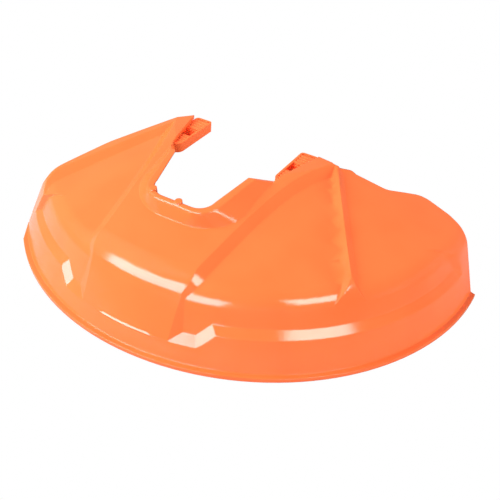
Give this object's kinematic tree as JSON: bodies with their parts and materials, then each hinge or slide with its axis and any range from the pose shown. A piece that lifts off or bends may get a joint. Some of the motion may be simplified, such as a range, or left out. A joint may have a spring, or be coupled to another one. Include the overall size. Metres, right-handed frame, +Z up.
{
  "type": "trimmer blade guard",
  "caption": "Part-round moulded plastic guard that covers the front of a trimmer's cutting blade, with ribbed bolt pads either side of a cut-out for the gearcase.",
  "frame": {"origin": "midway between the two bolt holes, on the undersides of the mounting pads", "axes": "+Z up, parallel to the blade's axis; -Y to the front, where the shaft comes in over the saddle; X along the line of the bolt holes, with the long ear at +X"},
  "size_m": [0.2796, 0.1746, 0.0715],
  "materials": {
    "shell": "glossy moulded orange"
  },
  "bodies": {
    "root": {"blade_guard": "shell"}
  },
  "joints": []
}
